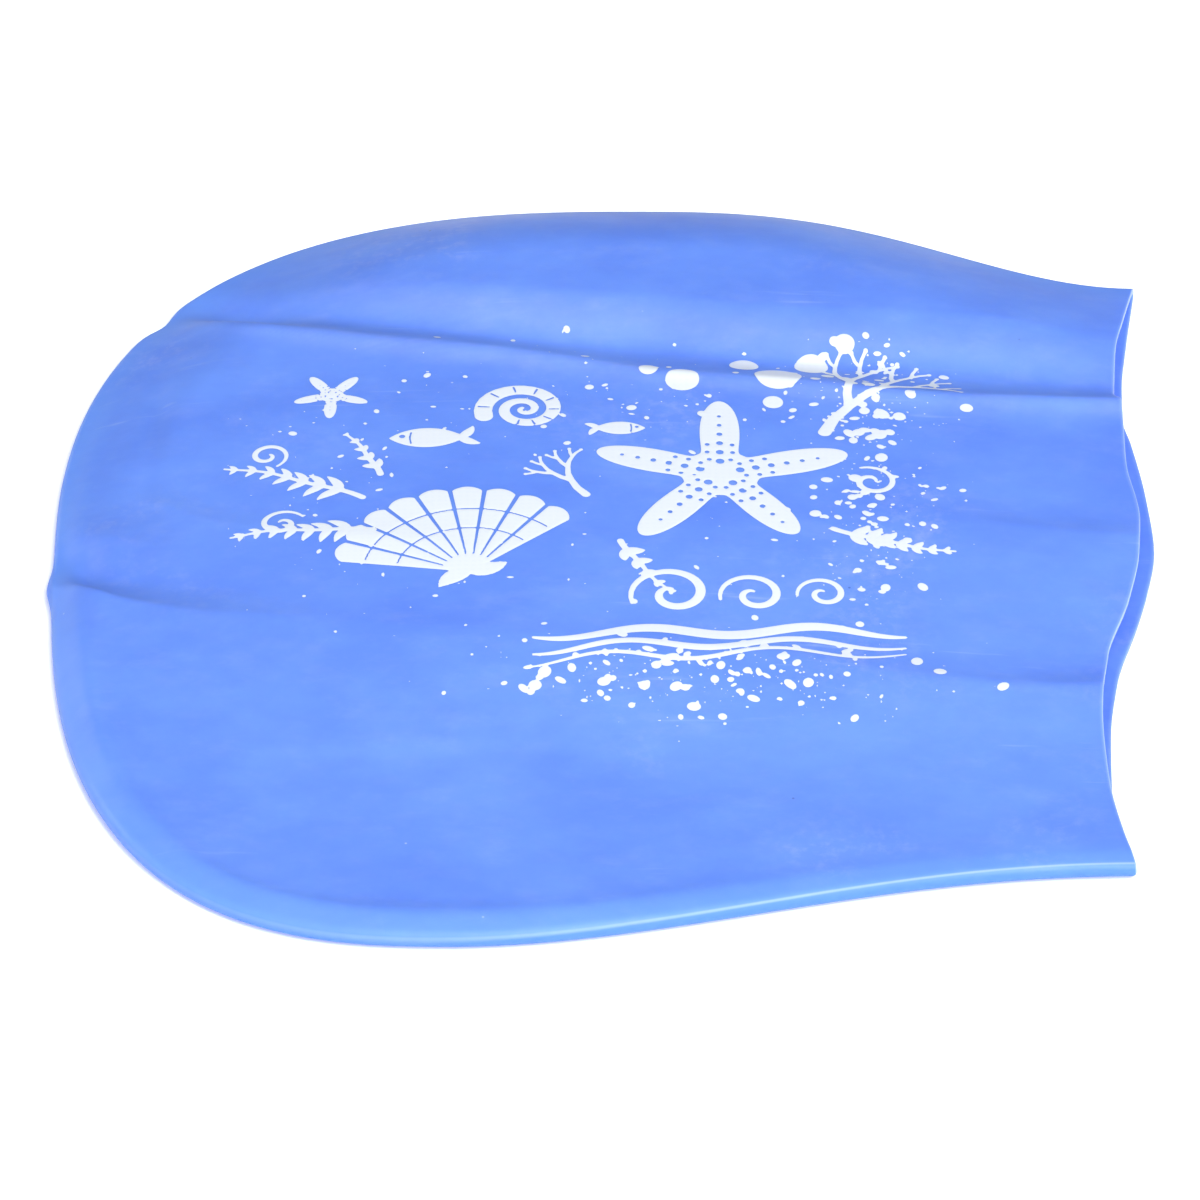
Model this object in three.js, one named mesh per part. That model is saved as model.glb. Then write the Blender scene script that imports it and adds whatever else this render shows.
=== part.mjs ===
// Swim cap: one moulded rubber shell, lying flattened on its side.
// Millimetres, +Z up. The crown is at -X, the mouth at +X, the near fold at -Y.
import * as THREE from 'three';

// Driving dimensions
const LENGTH = 192;        // crown to the lobe of the mouth
const WIDTH = 221.6;       // near fold to far fold
const SWELL = 14;          // height of the upper sheet at its fullest
const WALL = 0.9;          // rubber thickness
const FOLD = 2.6;          // thickness over both sheets at the folded edge
const EDGE_LIFT = 1.1;     // how far the folded edge stands off the floor
const EDGE_CURL = 24;      // width of the band below that curls up to it
const RINGS = 44;          // rings from the crown to the mouth

const HALF_LENGTH = LENGTH / 2;
const HALF_WIDTH = WIDTH / 2;
const FOLD_RADIUS = FOLD / 2;

// Outline seen from above
// Each side is a blunt crown arc as far as its widest point, then a taper to the mouth corner.
// Lengths are shares: widest and corner of LENGTH from the crown, crownY and cornerY of HALF_WIDTH.
const CROWN_Y = 0.050;
const SIDES = {
  near: { sign: -1, widest: 0.370, blunt: 2.67, full: 2.76, corner: 0.966, cornerY: 0.821, ease: 0.914 },
  far: { sign: 1, widest: 0.531, blunt: 2.605, full: 2.447, corner: 0.998, cornerY: 0.776, ease: 1.38 },
};

// Mouth: how far each rim stands out of the straight line between the two corners
// across: share of HALF_WIDTH; lower, upper: shares of LENGTH.
const MOUTH = [
  { across: -0.81, lower: 0.000, upper: 0.000 },
  { across: -0.72, lower: -0.010, upper: -0.012 },
  { across: -0.60, lower: -0.021, upper: -0.024 },
  { across: -0.45, lower: -0.022, upper: -0.030 },
  { across: -0.30, lower: -0.016, upper: -0.025 },
  { across: -0.15, lower: 0.002, upper: -0.009 },
  { across: 0.05, lower: 0.018, upper: 0.006 },
  { across: 0.20, lower: 0.011, upper: -0.003 },
  { across: 0.36, lower: -0.003, upper: -0.012 },
  { across: 0.42, lower: -0.010, upper: -0.019 },
  { across: 0.52, lower: -0.011, upper: -0.018 },
  { across: 0.64, lower: -0.007, upper: -0.010 },
  { across: 0.775, lower: 0.000, upper: 0.000 },
];

// Swell of the upper sheet: nine lines that run from the crown to the mouth
// along: share of LENGTH. For each line, how far across (share of HALF_WIDTH) and how high (share of
// SWELL) it runs: near shelf, dell, foot of the rise, middle pleat, saddle, upper pleat, gully, bank, brow.
const SHEET = [
  { along: 0.00,
    y: [-0.620, -0.500, -0.441, -0.130, 0.100, 0.620, 0.740, 0.776, 0.840],
    z: [0.420, 0.400, 0.436, 0.580, 0.580, 0.560, 0.400, 0.424, 0.440] },
  { along: 0.12,
    y: [-0.790, -0.630, -0.566, -0.230, 0.100, 0.570, 0.680, 0.712, 0.770],
    z: [0.530, 0.460, 0.518, 0.750, 0.730, 0.820, 0.540, 0.576, 0.600] },
  { along: 0.25,
    y: [-0.920, -0.540, -0.497, -0.270, 0.080, 0.480, 0.670, 0.692, 0.730],
    z: [0.520, 0.450, 0.530, 0.850, 0.860, 0.920, 0.640, 0.736, 0.800] },
  { along: 0.40,
    y: [-0.950, -0.520, -0.486, -0.310, 0.060, 0.430, 0.620, 0.656, 0.720],
    z: [0.490, 0.420, 0.512, 0.880, 0.940, 0.960, 0.600, 0.792, 0.920] },
  { along: 0.55,
    y: [-0.890, -0.530, -0.501, -0.350, 0.030, 0.380, 0.580, 0.627, 0.710],
    z: [0.470, 0.380, 0.476, 0.860, 0.930, 0.960, 0.570, 0.792, 0.940] },
  { along: 0.70,
    y: [-0.820, -0.570, -0.541, -0.390, 0.000, 0.340, 0.580, 0.623, 0.700],
    z: [0.410, 0.330, 0.420, 0.780, 0.860, 0.900, 0.570, 0.756, 0.880] },
  { along: 0.85,
    y: [-0.790, -0.630, -0.596, -0.420, -0.030, 0.330, 0.530, 0.580, 0.670],
    z: [0.340, 0.280, 0.352, 0.640, 0.750, 0.780, 0.480, 0.606, 0.690] },
  { along: 1.00,
    y: [-0.760, -0.670, -0.627, -0.400, 0.000, 0.330, 0.440, 0.501, 0.610],
    z: [0.290, 0.250, 0.300, 0.500, 0.600, 0.580, 0.360, 0.390, 0.410] },
];

// Shoulder: width of the slope inside the folded edge, shares of HALF_WIDTH
const SHOULDER = { nearCrown: 0.095, nearMouth: 0.050, far: 0.30 };

// Pleats: sharp lips that rise from the near side and drop away behind
// Paths and lips are tables over along (share of LENGTH): across (share of HALF_WIDTH),
// lip and pit (shares of SWELL). front, drop and back are lengths in shares of HALF_WIDTH.
const PLEATS = [
  { name: 'upper', front: 0.13, drop: 0.055, back: 0.12, rows: { share: 0.90, from: 0.58, to: 0.68 },
    along: [0.00, 0.11, 0.18, 0.26, 0.36, 0.46, 0.56, 0.68, 0.80, 0.92, 1.00],
    across: [0.83, 0.600, 0.520, 0.476, 0.440, 0.414, 0.374, 0.352, 0.337, 0.334, 0.345],
    lip: [0.00, 0.11, 0.11, 0.07, 0.06, 0.08, 0.07, 0.06, 0.08, 0.11, 0.12],
    pit: [0.00, 0.20, 0.15, 0.04, 0.03, 0.07, 0.06, 0.05, 0.09, 0.11, 0.10] },
  { name: 'middle', front: 0.12, drop: 0.045, back: 0.08, rows: { share: 0.10, from: 0.10, to: 0.24 },
    along: [0.00, 0.03, 0.06, 0.14, 0.23, 0.34, 0.50, 0.63, 0.77, 0.88, 0.96, 1.00],
    across: [-0.105, -0.155, -0.200, -0.237, -0.264, -0.288, -0.330, -0.353, -0.392, -0.412, -0.405, -0.390],
    lip: [0.10, 0.12, 0.11, 0.08, 0.05, 0.04, 0.03, 0.03, 0.05, 0.08, 0.10, 0.10],
    pit: [0.12, 0.16, 0.12, 0.06, 0.03, 0.02, 0.02, 0.02, 0.04, 0.07, 0.08, 0.06] },
  { name: 'lobe', front: 0.14, drop: 0.055, back: 0.08,
    along: [0.00, 0.74, 0.80, 0.88, 0.95, 1.00],
    across: [0.035, 0.030, 0.020, -0.003, -0.010, -0.008],
    lip: [0.00, 0.00, 0.03, 0.06, 0.08, 0.09],
    pit: [0.00, 0.00, 0.02, 0.04, 0.05, 0.05] },
  { name: 'crown', front: 0.10, drop: 0.050, back: 0.07,
    along: [0.00, 0.05, 0.09, 0.155, 0.30, 0.44, 1.00],
    across: [0.13, 0.110, 0.080, 0.000, -0.056, -0.090, -0.090],
    lip: [0.00, 0.00, 0.020, 0.020, 0.012, 0.00, 0.00],
    pit: [0.00, 0.00, 0.015, 0.015, 0.008, 0.00, 0.00] },
];

// Soft dents: centre and reach as shares of LENGTH and HALF_WIDTH, depth of SWELL
const DENTS = [
  { along: 0.065, across: 0.09, reachX: 0.035, reachY: 0.09, depth: 0.06 },
  { along: 0.088, across: 0.33, reachX: 0.014, reachY: 0.13, depth: 0.045 },
  { along: 0.115, across: -0.52, reachX: 0.045, reachY: 0.14, depth: 0.05 },
  { along: 0.220, across: -0.76, reachX: 0.070, reachY: 0.10, depth: 0.04 },
  { along: 0.920, across: -0.22, reachX: 0.140, reachY: 0.09, depth: 0.11 },
  { along: 0.940, across: -0.60, reachX: 0.080, reachY: 0.11, depth: 0.03 },
];

// Roll: the fold stands up a little just inside the edge, most of all round the crown
const ROLL = { inset: 0.048, reach: 0.024, crown: 0.065, mouth: 0.012 };

// Nudges of the folded edge where a pleat meets it: outward distance, shares of LENGTH
const NUDGES = [
  { along: 0.004, across: -0.085, turn: [-1, 0], out: 0.0050, reach: 0.024 },
  { along: 0.098, across: 0.640, turn: [-0.62, 0.78], out: -0.0080, reach: 0.020 },
];

const clamp = THREE.MathUtils.clamp;
const lerp = THREE.MathUtils.lerp;
const smooth = (a, b, x) => {
  const t = clamp((x - a) / (b - a), 0, 1);
  return t * t * (3 - 2 * t);
};

// A cubic through the points (xs, ys) that makes no bump of its own.
function curve(xs, ys, x) {
  const n = xs.length;
  if (x <= xs[0]) return ys[0];
  if (x >= xs[n - 1]) return ys[n - 1];
  let i = 0;
  while (x > xs[i + 1]) i++;
  const rise = (k) => (ys[k + 1] - ys[k]) / (xs[k + 1] - xs[k]);
  const slope = (k) => {
    if (k === 0) return rise(0);
    if (k === n - 1) return rise(n - 2);
    const a = rise(k - 1), b = rise(k);
    return a * b <= 0 ? 0 : (2 * a * b) / (a + b);
  };
  const h = xs[i + 1] - xs[i], t = (x - xs[i]) / h;
  const t2 = t * t, t3 = t2 * t;
  return ys[i] * (2 * t3 - 3 * t2 + 1) + ys[i + 1] * (3 * t2 - 2 * t3)
    + h * (slope(i) * (t3 - 2 * t2 + t) + slope(i + 1) * (t3 - t2));
}

const column = (rows, key) => rows.map((row) => row[key]);
const shareAlong = (x) => (x + HALF_LENGTH) / LENGTH;

// Outline
const CENTRE_Y = CROWN_Y * HALF_WIDTH;

// Half width of one side, from the line through the crown, at x.
function halfWidth(side, x) {
  const widest = -HALF_LENGTH + side.widest * LENGTH;
  const full = HALF_WIDTH - side.sign * CENTRE_Y;
  if (x <= widest) {
    const u = clamp((widest - x) / (side.widest * LENGTH), 0, 1);
    return full * (1 - u ** side.blunt) ** (1 / side.full);
  }
  const corner = -HALF_LENGTH + side.corner * LENGTH;
  const end = side.cornerY * HALF_WIDTH - side.sign * CENTRE_Y;
  const t = clamp((x - widest) / (corner - widest), 0, 1) ** side.ease;
  return lerp(full, end, (1 - Math.cos(Math.PI * t)) / 2);
}

// The side as a chain of points from the crown to the mouth corner, with its running length.
function chain(side) {
  const widest = side.widest, points = [];
  for (let i = 0; i <= 400; i++) {
    const share = i < 200 ? widest * (1 - Math.cos((Math.PI / 2) * (i / 200)) ** (2 / side.full))
      : lerp(widest, side.corner, (i - 200) / 200);
    const x = -HALF_LENGTH + share * LENGTH;
    points.push([x, CENTRE_Y + side.sign * halfWidth(side, x)]);
  }
  const run = [0];
  for (let i = 1; i < points.length; i++) {
    run.push(run[i - 1] + Math.hypot(points[i][0] - points[i - 1][0], points[i][1] - points[i - 1][1]));
  }
  return { points, run };
}

function along({ points, run }, share) {
  const want = share * run[run.length - 1];
  let i = 1;
  while (i < run.length - 1 && run[i] < want) i++;
  const t = clamp((want - run[i - 1]) / (run[i] - run[i - 1]), 0, 1);
  return [lerp(points[i - 1][0], points[i][0], t), lerp(points[i - 1][1], points[i][1], t)];
}

// Distance of a point of the plan from the folded edge.
function edgeDistance(x, y) {
  const v = y - CENTRE_Y;
  const to = (side) => {
    const w = halfWidth(side, x), dw = (halfWidth(side, x + 0.01) - halfWidth(side, x - 0.01)) / 0.02;
    return Math.max(0, (w * w - v * v) / (2 * Math.hypot(w * dw, v) + 1e-6));
  };
  return lerp(to(SIDES.near), to(SIDES.far), smooth(-0.2, 0.2, v / HALF_WIDTH));
}

// Heights
const round = (d) => {
  const t = Math.min(d, FOLD_RADIUS);
  return Math.sqrt(FOLD_RADIUS ** 2 - (FOLD_RADIUS - t) ** 2);
};
const lift = (d) => EDGE_LIFT * (1 - Math.min(d / EDGE_CURL, 1)) ** 2;

function swell(x, y) {
  const t = shareAlong(x), stations = column(SHEET, 'along');
  const across = [], high = [];
  for (let k = 0; k < SHEET[0].y.length; k++) {
    across.push(HALF_WIDTH * curve(stations, SHEET.map((row) => row.y[k]), t));
    high.push(SWELL * curve(stations, SHEET.map((row) => row.z[k]), t));
  }
  return curve(across, high, y);
}

function pleatLine(pleat, x) {
  return HALF_WIDTH * curve(pleat.along, pleat.across, shareAlong(x));
}

function pleatHeight(pleat, x, y) {
  const t = shareAlong(x), past = (y - pleatLine(pleat, x)) / HALF_WIDTH;
  const lip = SWELL * curve(pleat.along, pleat.lip, t), pit = SWELL * curve(pleat.along, pleat.pit, t);
  if (past < -pleat.front) return 0;
  if (past < 0) return lip * (1 + past / pleat.front) ** 2;
  if (past < pleat.drop) return -pit + (lip + pit) * (0.5 + 0.5 * Math.cos(Math.PI * past / pleat.drop));
  return -pit * (1 - smooth(0, pleat.back, past - pleat.drop));
}

// Width of the slope from the folded edge up to the sheet's full height.
function shoulder(x, y) {
  const near = lerp(SHOULDER.nearCrown, SHOULDER.nearMouth, clamp(shareAlong(x), 0, 1));
  return HALF_WIDTH * lerp(near, SHOULDER.far, smooth(-0.60, 0.70, y / HALF_WIDTH));
}

function upperHeight(x, y) {
  const d = edgeDistance(x, y);
  const open = 1 - (1 - Math.min(d / shoulder(x, y), 1)) ** 2.1;
  let body = swell(x, y);
  for (const pleat of PLEATS) body += pleatHeight(pleat, x, y);
  for (const dent of DENTS) {
    const u = (shareAlong(x) - dent.along) / dent.reachX, v = (y / HALF_WIDTH - dent.across) / dent.reachY;
    body -= dent.depth * SWELL * Math.exp(-u * u - v * v);
  }
  const roll = lerp(ROLL.crown, ROLL.mouth, smooth(0.15, 0.75, shareAlong(x))) * smooth(0.62, 0.30, y / HALF_WIDTH);
  body += SWELL * roll * Math.exp(-(((d / HALF_WIDTH - ROLL.inset) / ROLL.reach) ** 2));
  return lift(d) + FOLD_RADIUS + round(d) + (body - FOLD) * open;
}

const lowerHeight = (x, y) => {
  const d = edgeDistance(x, y);
  return lift(d) + FOLD_RADIUS - round(d);
};

function nudge(x, y) {
  const d = edgeDistance(x, y);
  let dx = 0, dy = 0;
  for (const n of NUDGES) {
    const u = x + HALF_LENGTH - n.along * LENGTH, v = y - n.across * HALF_WIDTH;
    const cross = (u * n.turn[1] - v * n.turn[0]) / (n.reach * LENGTH);
    const near = n.out * LENGTH * Math.exp(-cross * cross) * Math.exp(-d / (0.06 * HALF_WIDTH));
    if (Math.hypot(u, v) < 0.27 * HALF_WIDTH) { dx += near * n.turn[0]; dy += near * n.turn[1]; }
  }
  return [x + dx, y + dy];
}

// Rings: each runs from the near fold over the upper sheet to the far fold, then back below
const NEAR = chain(SIDES.near), FAR = chain(SIDES.far);
const CORNERS = [along(NEAR, 1), along(FAR, 1)];

function mouthOffset(key, y) {
  return LENGTH * curve(column(MOUTH, 'across'), column(MOUTH, key), y / HALF_WIDTH);
}

function planPoint(s, phi, key, a, b) {
  const middleX = lerp(-HALF_LENGTH, (CORNERS[0][0] + CORNERS[1][0]) / 2, s ** 1.15);
  const middleY = lerp(CENTRE_Y, (CORNERS[0][1] + CORNERS[1][1]) / 2, s * s);
  const f = Math.sin(phi), g = Math.cos(phi);
  const y = lerp(a[1], b[1], (1 + f) / 2) + (middleY - (a[1] + b[1]) / 2) * g * g;
  let x = lerp(a[0], b[0], (1 + f) / 2) + (middleX - (a[0] + b[0]) / 2) * g;
  return [x + smooth(0.62, 1, s) * mouthOffset(key, y), y];
}

// Places along one ring, as distances from its near end, with rows kept on the pleats.
const TOP = [3, 7, 2, 3, 6, 2, 3, 8, 3];
const BELOW = [3, 13, 3];

function sampleRing(s, key) {
  const count = 240, points = [], run = [0], onEdge = 1 - (1 - s) ** 1.4;
  const a = along(NEAR, onEdge), b = along(FAR, onEdge);
  for (let i = 0; i <= count; i++) points.push(planPoint(s, Math.PI * (i / count - 0.5), key, a, b));
  for (let i = 1; i <= count; i++) {
    run.push(run[i - 1] + Math.hypot(points[i][0] - points[i - 1][0], points[i][1] - points[i - 1][1]));
  }
  return { points, run };
}

// Where a ring crosses a pleat; a ring near the crown, which misses it, keeps to a share of itself.
function crossing(ring, pleat) {
  const total = ring.run[ring.run.length - 1], { share, from, to } = pleat.rows;
  let before = -1;
  for (let i = 0; i < ring.points.length; i++) {
    const past = ring.points[i][1] - pleatLine(pleat, ring.points[i][0]);
    if (past > 0) {
      const t = i > 0 ? before / (before - past) : 0;
      const place = i > 0 ? lerp(ring.run[i - 1], ring.run[i], t) : 0;
      return lerp(share * total, Math.min(place, 0.93 * total), smooth(from * WIDTH, to * WIDTH, total));
    }
    before = past;
  }
  return share * total;
}

function stops(anchors, counts) {
  const out = [];
  for (let k = 0; k < counts.length; k++) {
    for (let i = 0; i < counts[k]; i++) out.push(lerp(anchors[k], anchors[k + 1], i / counts[k]));
  }
  out.push(anchors[anchors.length - 1]);
  return out;
}

// Near an end, equal turns about the fold instead of equal steps.
function easeEnds(places, total, n) {
  const reach = places[n];
  for (let i = 1; i < n; i++) {
    const step = reach * (1 - Math.cos((Math.PI / 2) * (i / n)));
    places[i] = step;
    places[places.length - 1 - i] = total - step;
  }
  return places;
}

function ringPoints(s) {
  const top = sampleRing(s, 'upper'), low = sampleRing(s, 'lower');
  const total = top.run[top.run.length - 1], lowTotal = low.run[low.run.length - 1];
  const bend = Math.min(FOLD_RADIUS, total * 0.06);
  const drop = Math.min(0.05 * HALF_WIDTH, total * 0.05), front = Math.min(0.063 * HALF_WIDTH, total * 0.07);
  const b = crossing(top, PLEATS[1]), a = crossing(top, PLEATS[0]);
  const marks = [0, bend, b - front, b, b + drop, a - front, a, a + drop, total - bend, total];
  for (let k = 1; k < marks.length - 1; k++) marks[k] = Math.max(marks[k], marks[k - 1] + bend);
  for (let k = marks.length - 2; k > 0; k--) marks[k] = Math.min(marks[k], marks[k + 1] - bend * 0.9);
  const upper = easeEnds(stops(marks, TOP), total, TOP[0]);
  const lower = easeEnds(stops([0, bend, lowTotal - bend, lowTotal], BELOW), lowTotal, BELOW[0]);
  const out = [];
  for (const place of upper) {
    const [x, y] = along(top, place / total);
    const [u, v] = nudge(x, y);
    out.push(new THREE.Vector3(u, v, upperHeight(x, y)));
  }
  for (const place of lower.slice(1, -1).reverse()) {
    const [x, y] = along(low, place / lowTotal);
    const [u, v] = nudge(x, y);
    out.push(new THREE.Vector3(u, v, lowerHeight(x, y)));
  }
  return out;
}

// Shell: outer skin, inner skin one WALL inside it, and the rim that joins them
function shell() {
  const outer = [];
  for (let k = 1; k <= RINGS; k++) outer.push(ringPoints((k / RINGS) ** 1.6));
  const count = outer[0].length;
  const pole = new THREE.Vector3(-HALF_LENGTH, CENTRE_Y, EDGE_LIFT + FOLD_RADIUS);
  const inner = outer.map((ring, k) => ring.map((point, j) => {
    const ahead = outer[Math.min(k + 1, RINGS - 1)][j], behind = k > 0 ? outer[k - 1][j] : pole;
    const right = ring[(j + 1) % count], left = ring[(j + count - 1) % count];
    const normal = ahead.clone().sub(behind).cross(right.clone().sub(left)).normalize();
    return point.clone().addScaledVector(normal, -WALL);
  }));
  const innerPole = pole.clone().add(new THREE.Vector3(WALL, 0, 0));

  const points = [], index = [];
  const add = (p) => points.push(p.x, p.y, p.z) / 3 - 1;
  const skin = (rings, tip, flip) => {
    const rows = rings.map((ring) => ring.map(add)), top = add(tip);
    const face = (a, b, c) => (flip ? index.push(a, c, b) : index.push(a, b, c));
    for (let j = 0; j < count; j++) face(top, rows[0][j], rows[0][(j + 1) % count]);
    for (let k = 0; k < rows.length - 1; k++) {
      for (let j = 0; j < count; j++) {
        const n = (j + 1) % count;
        face(rows[k][j], rows[k + 1][j], rows[k + 1][n]);
        face(rows[k][j], rows[k + 1][n], rows[k][n]);
      }
    }
    return rows[rows.length - 1];
  };
  const out = skin(outer, pole, false), ins = skin(inner, innerPole, true);
  for (let j = 0; j < count; j++) {
    const n = (j + 1) % count;
    index.push(out[j], ins[j], ins[n], out[j], ins[n], out[n]);
  }
  const geometry = new THREE.BufferGeometry();
  geometry.setAttribute('position', new THREE.Float32BufferAttribute(points, 3));
  geometry.setIndex(index);
  geometry.computeBoundingBox();
  const { min, max } = geometry.boundingBox;
  geometry.translate(-(min.x + max.x) / 2, -(min.y + max.y) / 2, -min.z);
  geometry.computeVertexNormals();
  return geometry;
}

const cap = new THREE.Mesh(shell(), new THREE.MeshStandardMaterial({ color: 0x739dfe, roughness: 0.45 }));
cap.name = 'cap_shell';

const group = new THREE.Group();
group.name = 'swim_cap';
group.add(cap);
export default group;
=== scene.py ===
# %% [markdown]
# A swim cap lying flattened on its side
#
# The real thing is one moulding of silicone rubber, a deep dome about 0.9 mm thick. Lying flat it is two
# sheets joined by a soft fold all round, open at the mouth on the right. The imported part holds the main
# form as plain facets. Here it gets a finer skin with more relief, its rubber, and its white print.

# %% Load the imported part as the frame
import math

import bpy
import numpy as np
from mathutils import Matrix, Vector


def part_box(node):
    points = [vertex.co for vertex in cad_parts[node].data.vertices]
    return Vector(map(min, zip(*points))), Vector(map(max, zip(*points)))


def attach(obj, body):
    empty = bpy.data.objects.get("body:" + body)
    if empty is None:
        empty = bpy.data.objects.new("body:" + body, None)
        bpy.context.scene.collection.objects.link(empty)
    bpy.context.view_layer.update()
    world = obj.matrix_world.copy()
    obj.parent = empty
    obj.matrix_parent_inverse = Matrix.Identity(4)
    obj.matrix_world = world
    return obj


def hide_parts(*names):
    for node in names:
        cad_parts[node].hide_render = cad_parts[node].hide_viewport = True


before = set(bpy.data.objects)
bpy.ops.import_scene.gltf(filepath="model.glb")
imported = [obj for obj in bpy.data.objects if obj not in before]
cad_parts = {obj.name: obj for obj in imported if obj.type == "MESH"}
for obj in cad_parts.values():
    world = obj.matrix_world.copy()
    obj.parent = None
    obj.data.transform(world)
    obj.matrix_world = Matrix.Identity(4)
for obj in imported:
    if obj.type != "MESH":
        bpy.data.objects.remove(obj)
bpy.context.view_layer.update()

MM = 0.001
low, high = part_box("cap_shell")
print("packed cap, mm:", [round((high[i] - low[i]) / MM, 1) for i in range(3)])

# %% [markdown]
# The camera comes first, since everything is judged through it. A long lens two metres away flattens the
# perspective, as in a catalogue picture, and it looks down at 35 degrees from the near side of the cap.

# %% Camera
scene = bpy.context.scene
ELEVATION, DISTANCE = math.radians(35.0), 2.0
AIM = Vector((-0.0004, -0.0075, 0.0))
camera = bpy.data.objects.new("camera", bpy.data.cameras.new("camera"))
camera.data.sensor_width, camera.data.lens = 36.0, 344.4
camera.location = AIM + DISTANCE * Vector((0, -math.cos(ELEVATION), math.sin(ELEVATION)))
camera.rotation_euler = (AIM - camera.location).to_track_quat("-Z", "Y").to_euler()
scene.collection.objects.link(camera)
scene.camera = camera
print("camera at", [round(c, 3) for c in camera.location])

# %% [markdown]
# The stage is one white sheet. It glows faintly, so that the cap lies in hardly any shadow, as on the
# lit table of a product photographer.

# %% White sheet
SHEET_GLOW = 0.30

def plain_material(name, colour, roughness):
    """A principled material with one colour, for the stage alone."""
    made = bpy.data.materials.new(name)
    made.use_nodes = True
    made.node_tree.nodes["Principled BSDF"].inputs["Base Color"].default_value = (*colour, 1)
    made.node_tree.nodes["Principled BSDF"].inputs["Roughness"].default_value = roughness
    return made

floor_mesh = bpy.data.meshes.new("floor")
floor_mesh.from_pydata([(-6, -6, 0), (6, -6, 0), (6, 6, 0), (-6, 6, 0)], [], [(0, 1, 2, 3)])
floor = bpy.data.objects.new("floor", floor_mesh)
floor_mesh.materials.append(plain_material("white_sheet", (0.93, 0.93, 0.93), 0.9))
glow = floor_mesh.materials[0].node_tree.nodes["Principled BSDF"]
glow.inputs["Emission Color"].default_value = (1, 1, 1, 1)
glow.inputs["Emission Strength"].default_value = SHEET_GLOW
scene.collection.objects.link(floor)
print("sheet, m:", [round(side, 1) for side in floor.dimensions])

# %% [markdown]
# The light is even and almost shadowless. The surround is brighter on the near side, and a soft panel
# near the camera models the folds: slopes that face the viewer come out a little lighter than slopes
# that turn away, which is how soft rubber reads in a light tent. Three weak panels open the edges.

# %% Light tent and panels
def soft_panel(name, place, aim, size, power):
    """A square area lamp of that size in metres at place, turned to face aim."""
    lamp = bpy.data.lights.new(name, "AREA")
    lamp.shape, lamp.size, lamp.energy = "SQUARE", size, power
    panel = bpy.data.objects.new(name, lamp)
    panel.location = place
    panel.rotation_euler = (Vector(aim) - Vector(place)).to_track_quat("-Z", "Y").to_euler()
    scene.collection.objects.link(panel)
    return panel

scene.view_settings.view_transform = "Standard"
scene.world = bpy.data.worlds.new("light_tent")
scene.world.use_nodes = True
tent = scene.world.node_tree
looking = tent.nodes.new("ShaderNodeSeparateXYZ")
tent.links.new(tent.nodes.new("ShaderNodeTexCoord").outputs["Generated"], looking.inputs[0])
fade = tent.nodes.new("ShaderNodeMapRange")
fade.interpolation_type = "SMOOTHSTEP"
for key, value in (("From Min", -0.5), ("From Max", 0.6), ("To Min", 0.27), ("To Max", 0.06)):
    fade.inputs[key].default_value = value
tent.links.new(looking.outputs["Y"], fade.inputs["Value"])
tent.links.new(fade.outputs["Result"], tent.nodes["Background"].inputs["Strength"])
tent.nodes["Background"].inputs["Color"].default_value = (1.0, 1.0, 1.0, 1)
soft_panel("top_panel", (0.0, -0.5, 2.1), (0, 0, 0), 1.2, 9)
soft_panel("front_panel", (0.4, -1.6, 1.6), (0, 0, 0), 0.7, 53)
soft_panel("floor_panel", (0.0, -1.8, 0.16), (0, 0, 0), 0.5, 3.0)
soft_panel("left_panel", (-1.6, 0.8, 0.6), (0, 0, 0), 0.7, 10)
soft_panel("right_panel", (1.9, -0.3, 0.45), (0, 0, 0), 0.7, 14)

# %% [markdown]
# The cap's form is worked out from a few tables, all as shares of its length, width and swell, so the
# picture can be read from them: where its widest points are, how the mouth waves, how high the upper
# sheet stands along nine lines, and where its soft pleats run. Sculpting by hand could reach the same
# form, but a table shows in numbers what was changed. The size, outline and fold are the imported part's.
# The relief goes further: most of it within 1 mm, but the brow behind the far gully stands up to 6 mm
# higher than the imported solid, as the shading in the photograph asked for.

# %% Sizes and tables, in millimetres and shares
LENGTH, WIDTH, SWELL, WALL, FOLD = 192.0, 221.6, 14.0, 0.9, 2.6
EDGE_LIFT, EDGE_CURL, CROWN_Y = 1.1, 24.0, 0.050
HALF_LENGTH, HALF_WIDTH, FOLD_RADIUS = LENGTH / 2, WIDTH / 2, FOLD / 2
CENTRE_Y = CROWN_Y * HALF_WIDTH

# sign, widest point, two roundness powers, mouth corner along and across, ease of the taper
NEAR = dict(sign=-1, widest=0.370, blunt=2.67, full=2.76, corner=0.966, corner_y=0.821, ease=0.914)
FAR = dict(sign=1, widest=0.531, blunt=2.605, full=2.447, corner=0.998, corner_y=0.776, ease=1.38)

# across, lower rim, upper rim
MOUTH = np.array([
    (-0.821, 0.000, 0.000), (-0.812, -0.006, -0.001), (-0.72, -0.010, -0.012), (-0.60, -0.021, -0.024),
    (-0.45, -0.022, -0.030), (-0.30, -0.016, -0.025), (-0.15, 0.002, -0.005), (-0.05, 0.012, 0.003),
    (0.05, 0.018, 0.004), (0.20, 0.011, -0.008), (0.36, -0.003, -0.012), (0.42, -0.010, -0.019),
    (0.52, -0.011, -0.018), (0.64, -0.007, -0.010), (0.775, 0.000, 0.000)])

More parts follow.
